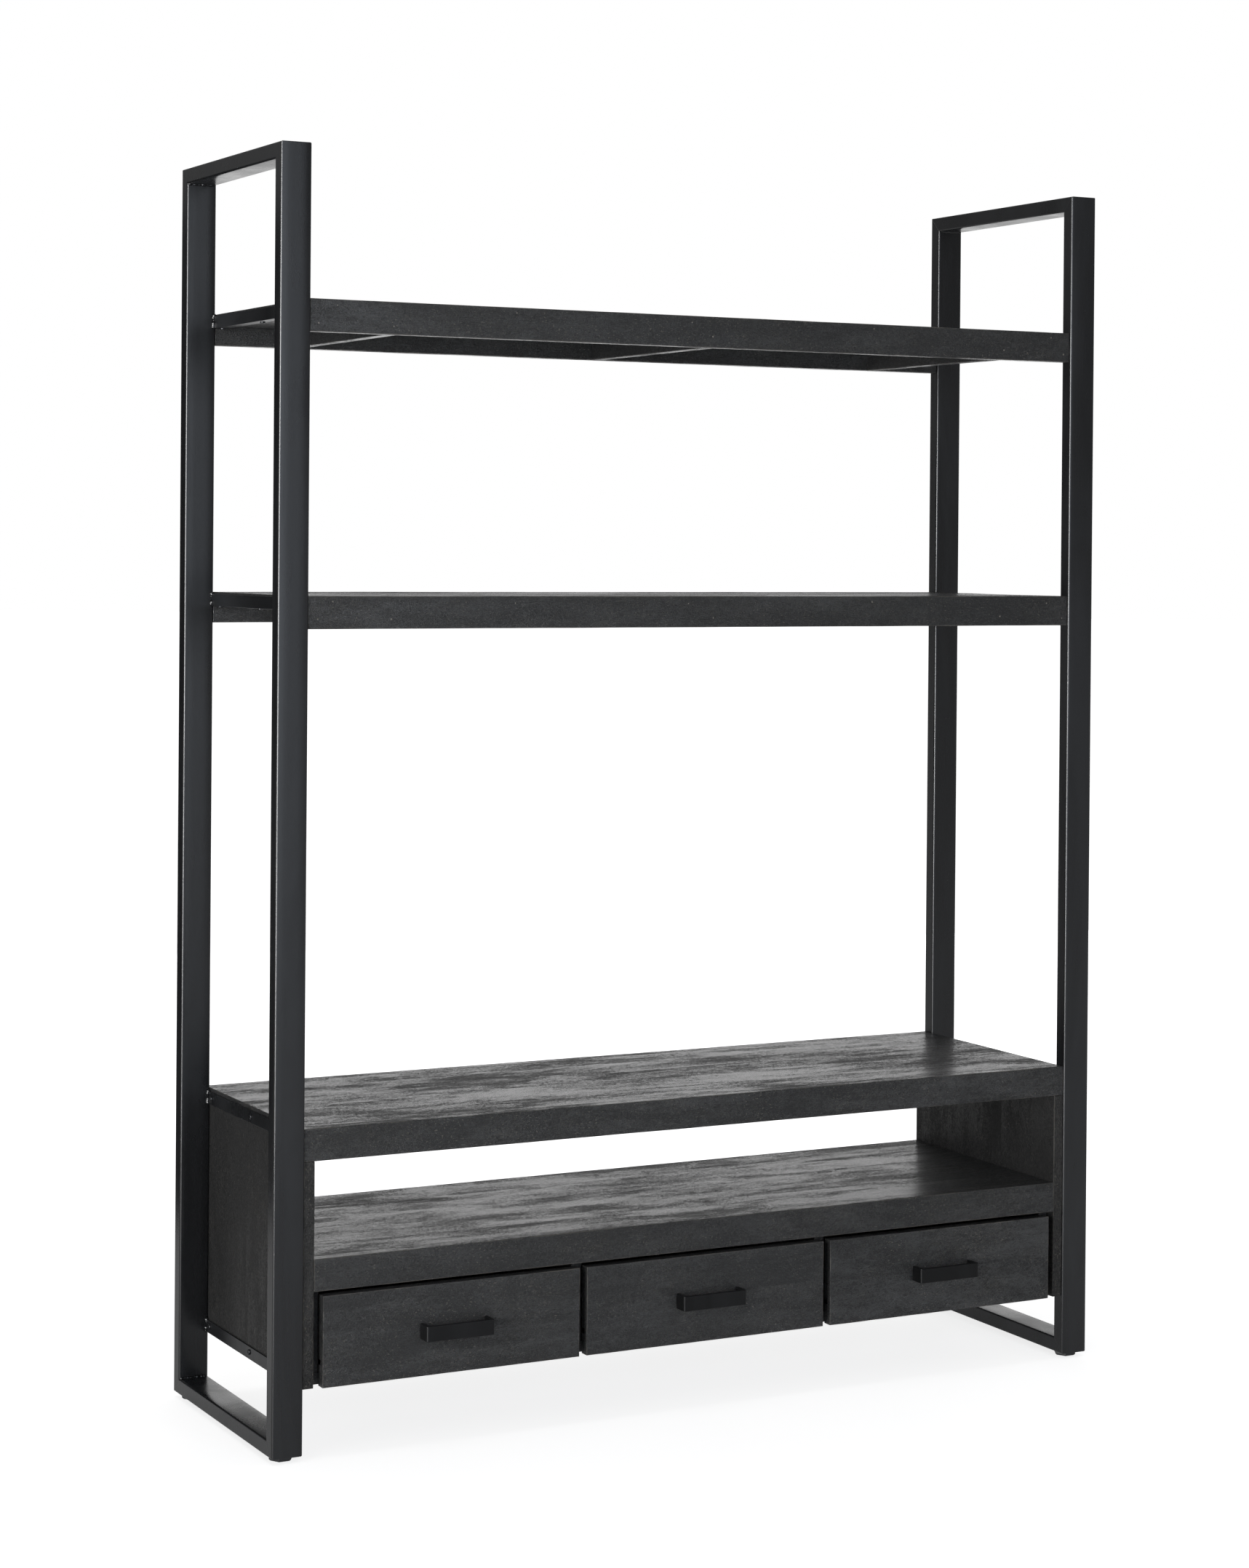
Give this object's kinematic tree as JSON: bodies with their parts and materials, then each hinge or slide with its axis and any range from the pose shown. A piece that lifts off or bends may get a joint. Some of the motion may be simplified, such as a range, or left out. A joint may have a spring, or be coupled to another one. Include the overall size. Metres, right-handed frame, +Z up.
{
  "type": "bookcase with drawers",
  "caption": "Industrial bookcase: two black steel side frames carry two dark wooden shelves and a low cabinet with an open niche and a row of drawers.",
  "frame": {"origin": "on the floor, in the middle of the outline that the feet, the frames and the drawer handles take up", "axes": "+X to the right across the bookcase, +Y from the front to the back, +Z up"},
  "size_m": [1.5, 0.469, 2],
  "materials": {
    "frame_steel": "satin black powder coat",
    "handle_steel": "satin black powder coat",
    "stained_wood": "charcoal-stained mango wood under thin satin lacquer",
    "drawer_wood": "dark brown stained wood",
    "runner_steel": "zinc-plated steel",
    "screw_steel": "black phosphated steel",
    "foot_plastic": "black moulded plastic"
  },
  "bodies": {
    "bookcase": {"left_front_post": "frame_steel", "left_rear_post": "frame_steel", "left_bottom_rail": "frame_steel", "left_top_rail": "frame_steel", "right_front_post": "frame_steel", "right_rear_post": "frame_steel", "right_bottom_rail": "frame_steel", "right_top_rail": "frame_steel", "foot_nuts": "runner_steel", "top_shelf_board": "stained_wood", "top_shelf_front_apron": "stained_wood", "top_shelf_rear_apron": "stained_wood", "top_shelf_ribs": "stained_wood", "top_shelf_angles": "frame_steel", "middle_shelf_board": "stained_wood", "middle_shelf_front_apron": "stained_wood", "middle_shelf_rear_apron": "stained_wood", "middle_shelf_ribs": "stained_wood", "middle_shelf_angles": "frame_steel", "cabinet_upper_bars": "frame_steel", "cabinet_lower_angles": "frame_steel", "cabinet_top_board": "stained_wood", "cabinet_top_front_apron": "stained_wood", "cabinet_top_rear_apron": "stained_wood", "cabinet_left_side": "stained_wood", "cabinet_right_side": "stained_wood", "lower_shelf_board": "stained_wood", "lower_shelf_front_apron": "stained_wood", "cabinet_floor": "stained_wood", "drawer_dividers": "stained_wood", "runner_packers": "stained_wood", "drawer_bay_back": "drawer_wood", "cabinet_runners": "runner_steel", "frame_screws": "screw_steel"},
    "left_drawer": {"left_drawer_front": "stained_wood", "left_drawer_sides": "drawer_wood", "left_drawer_back": "drawer_wood", "left_drawer_bottom": "drawer_wood", "left_drawer_runners": "runner_steel", "left_drawer_handle": "handle_steel", "left_drawer_handle_screws": "screw_steel"},
    "middle_drawer": {"middle_drawer_front": "stained_wood", "middle_drawer_sides": "drawer_wood", "middle_drawer_back": "drawer_wood", "middle_drawer_bottom": "drawer_wood", "middle_drawer_runners": "runner_steel", "middle_drawer_handle": "handle_steel", "middle_drawer_handle_screws": "screw_steel"},
    "right_drawer": {"right_drawer_front": "stained_wood", "right_drawer_sides": "drawer_wood", "right_drawer_back": "drawer_wood", "right_drawer_bottom": "drawer_wood", "right_drawer_runners": "runner_steel", "right_drawer_handle": "handle_steel", "right_drawer_handle_screws": "screw_steel"},
    "left_front_foot": {"left_front_foot": "foot_plastic"},
    "left_rear_foot": {"left_rear_foot": "foot_plastic"},
    "right_front_foot": {"right_front_foot": "foot_plastic"},
    "right_rear_foot": {"right_rear_foot": "foot_plastic"}
  },
  "joints": [
    {"name": "left_drawer_slide", "type": "slide", "parent": "bookcase", "child": "left_drawer", "axis": [0, -1, 0], "range_m": [0, 0.27]},
    {"name": "middle_drawer_slide", "type": "slide", "parent": "bookcase", "child": "middle_drawer", "axis": [0, -1, 0], "range_m": [0, 0.27]},
    {"name": "right_drawer_slide", "type": "slide", "parent": "bookcase", "child": "right_drawer", "axis": [0, -1, 0], "range_m": [0, 0.27]},
    {"name": "left_front_foot_screw", "type": "slide", "parent": "bookcase", "child": "left_front_foot", "axis": [0, 0, -1], "range_m": [0, 0.01]},
    {"name": "left_rear_foot_screw", "type": "slide", "parent": "bookcase", "child": "left_rear_foot", "axis": [0, 0, -1], "range_m": [0, 0.01]},
    {"name": "right_front_foot_screw", "type": "slide", "parent": "bookcase", "child": "right_front_foot", "axis": [0, 0, -1], "range_m": [0, 0.01]},
    {"name": "right_rear_foot_screw", "type": "slide", "parent": "bookcase", "child": "right_rear_foot", "axis": [0, 0, -1], "range_m": [0, 0.01]}
  ]
}
